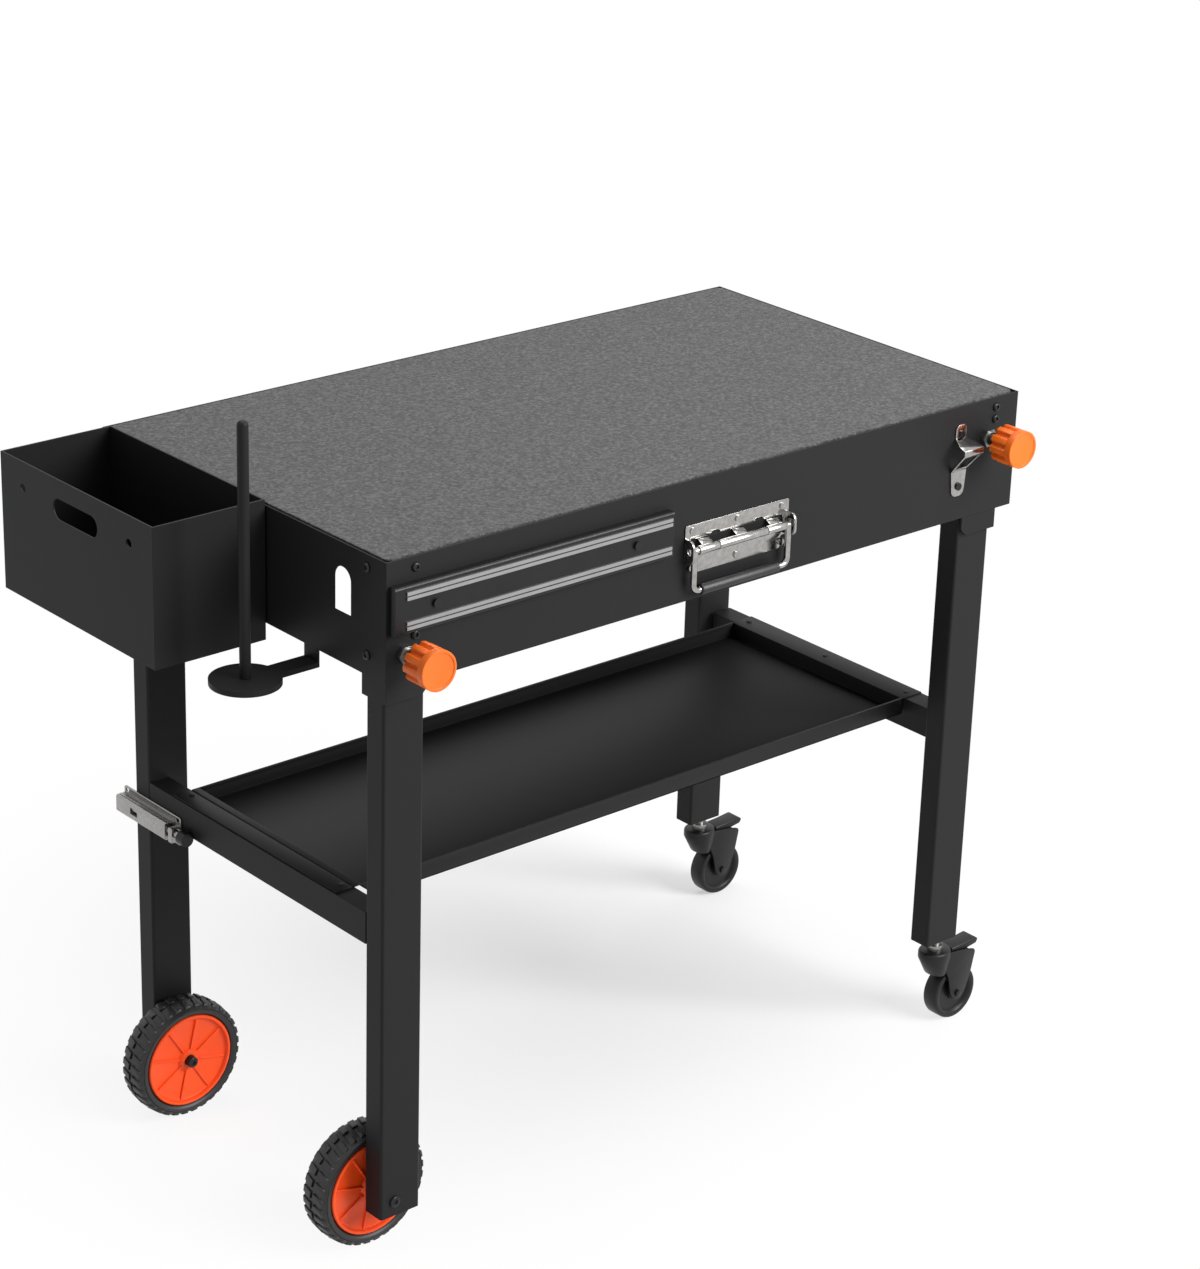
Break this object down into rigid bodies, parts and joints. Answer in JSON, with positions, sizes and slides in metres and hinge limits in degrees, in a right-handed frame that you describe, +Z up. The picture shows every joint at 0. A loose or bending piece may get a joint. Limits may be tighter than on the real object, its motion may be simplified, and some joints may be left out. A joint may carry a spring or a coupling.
{
  "type": "grill table",
  "caption": "Folding outdoor grill table: matted steel case on fold-in leg frames with wheels and casters, lift-out shelf, side caddy, roll holder, tool rail and carry handle.",
  "frame": {"origin": "floor level, under the middle of the table's outline", "axes": "+X along the table from the caddy to the casters, +Y from the front apron to the back, +Z up"},
  "size_m": [1.0736, 0.567, 0.946],
  "materials": {
    "black_steel": "satin powder coat",
    "felt": "needled felt mat",
    "black_bolt": "black oxide",
    "zinc": "zinc plated",
    "chrome": "bright nickel plate",
    "orange_plastic": "moulded, semi-gloss",
    "black_plastic": "moulded",
    "tyre_rubber": "moulded tread"
  },
  "bodies": {
    "case": {"deck_panel": "black_steel", "deck_mat": "felt", "front_apron": "black_steel", "rear_apron": "black_steel", "left_end_plate": "black_steel", "right_end_plate": "black_steel", "left_front_bracket": "black_steel", "left_rear_bracket": "black_steel", "right_front_bracket": "black_steel", "right_rear_bracket": "black_steel", "case_bolts": "black_bolt", "left_plunger_sleeve": "zinc", "right_plunger_sleeve": "zinc", "pivot_washers": "black_bolt", "roll_arm": "black_steel", "roll_spindle": "black_steel", "tool_rail": "black_plastic", "tool_rail_strips": "chrome", "tool_rail_screws": "black_bolt", "handle_plate": "chrome", "handle_rivets": "chrome", "opener_plate": "chrome", "opener_screws": "chrome"},
    "left_plunger": {"left_knob": "orange_plastic", "left_plunger_pin": "zinc"},
    "right_plunger": {"right_knob": "orange_plastic", "right_plunger_pin": "zinc"},
    "bail": {"handle_bail": "chrome"},
    "caddy": {"caddy_tray": "black_steel", "caddy_hooks": "black_steel"},
    "shelf": {"shelf_tray": "black_steel", "shelf_end_bar": "black_steel"},
    "left_frame": {"left_front_leg": "black_steel", "left_rear_leg": "black_steel", "left_rail": "black_steel", "left_pivot_pins": "black_bolt", "left_leg_plugs": "black_plastic", "front_wheel_axle": "black_bolt", "rear_wheel_axle": "black_bolt", "latch_body": "zinc"},
    "front_wheel": {"front_wheel_rim": "orange_plastic", "front_wheel_tyre": "tyre_rubber"},
    "rear_wheel": {"rear_wheel_rim": "orange_plastic", "rear_wheel_tyre": "tyre_rubber"},
    "latch_slider": {"latch_bolt": "zinc", "latch_knob": "black_plastic"},
    "right_frame": {"right_front_leg": "black_steel", "right_rear_leg": "black_steel", "right_pivot_rod": "black_bolt", "right_leg_fittings": "black_plastic", "front_caster_stem": "zinc", "rear_caster_stem": "zinc"},
    "front_caster": {"front_caster_fork": "black_plastic", "front_caster_axle": "black_bolt"},
    "front_caster_roller": {"front_caster_wheel": "black_plastic"},
    "front_brake": {"front_caster_brake_pedal": "black_plastic"},
    "rear_caster": {"rear_caster_fork": "black_plastic", "rear_caster_axle": "black_bolt"},
    "rear_caster_roller": {"rear_caster_wheel": "black_plastic"},
    "rear_brake": {"rear_caster_brake_pedal": "black_plastic"}
  },
  "joints": [
    {"name": "left_leg_fold", "type": "hinge", "parent": "case", "child": "left_frame", "pos_m": [-0.3662, 0.02675, 0.6925], "axis": [0, -1, 0], "range_deg": [0, 90]},
    {"name": "shelf_lift", "type": "slide", "parent": "case", "child": "shelf", "axis": [0, 0, 1], "range_m": [0, 0.325]},
    {"name": "right_leg_fold", "type": "hinge", "parent": "case", "child": "right_frame", "pos_m": [0.4668, 0.02675, 0.749], "axis": [0, 1, 0], "range_deg": [0, 90]},
    {"name": "handle_swing", "type": "hinge", "parent": "case", "child": "bail", "pos_m": [0.0808, -0.23685, 0.738], "axis": [-1, 0, 0], "range_deg": [0, 90]},
    {"name": "caddy_unhook", "type": "slide", "parent": "case", "child": "caddy", "axis": [0, 0, 1], "range_m": [0, 0.016]},
    {"name": "latch_slide", "type": "slide", "parent": "left_frame", "child": "latch_slider", "axis": [0, 1, 0], "range_m": [0, 0.008]},
    {"name": "left_knob_pull", "type": "slide", "parent": "case", "child": "left_plunger", "axis": [0, -1, 0], "range_m": [0, 0.008], "stiffness_N_per_m": 600, "springref_m": -0.01},
    {"name": "right_knob_pull", "type": "slide", "parent": "case", "child": "right_plunger", "axis": [0, -1, 0], "range_m": [0, 0.008], "stiffness_N_per_m": 600, "springref_m": -0.01},
    {"name": "front_wheel_roll", "type": "hinge", "parent": "left_frame", "child": "front_wheel", "pos_m": [-0.3742, -0.20575, 0.072], "axis": [0, 1, 0], "continuous": true},
    {"name": "front_caster_swivel", "type": "hinge", "parent": "right_frame", "child": "front_caster", "pos_m": [0.4708, -0.20575, 0.101], "axis": [0, 0, 1], "continuous": true},
    {"name": "front_caster_roll", "type": "hinge", "parent": "front_caster", "child": "front_caster_roller", "pos_m": [0.5018, -0.20575, 0.035], "axis": [0, 1, 0], "continuous": true},
    {"name": "front_brake_press", "type": "hinge", "parent": "front_caster", "child": "front_brake", "pos_m": [0.4931, -0.20575, 0.096], "axis": [0, 1, 0], "range_deg": [0, 8]},
    {"name": "rear_wheel_roll", "type": "hinge", "parent": "left_frame", "child": "rear_wheel", "pos_m": [-0.3742, 0.22325, 0.072], "axis": [0, 1, 0], "continuous": true},
    {"name": "rear_caster_swivel", "type": "hinge", "parent": "right_frame", "child": "rear_caster", "pos_m": [0.4708, 0.22325, 0.101], "axis": [0, 0, 1], "continuous": true},
    {"name": "rear_caster_roll", "type": "hinge", "parent": "rear_caster", "child": "rear_caster_roller", "pos_m": [0.5018, 0.22325, 0.035], "axis": [0, 1, 0], "continuous": true},
    {"name": "rear_brake_press", "type": "hinge", "parent": "rear_caster", "child": "rear_brake", "pos_m": [0.4931, 0.22325, 0.096], "axis": [0, 1, 0], "range_deg": [0, 8]}
  ],
  "couplings": [
    {"joint": "shelf_lift", "follows": "left_leg_fold", "m_per_rad": 0.2069}
  ]
}
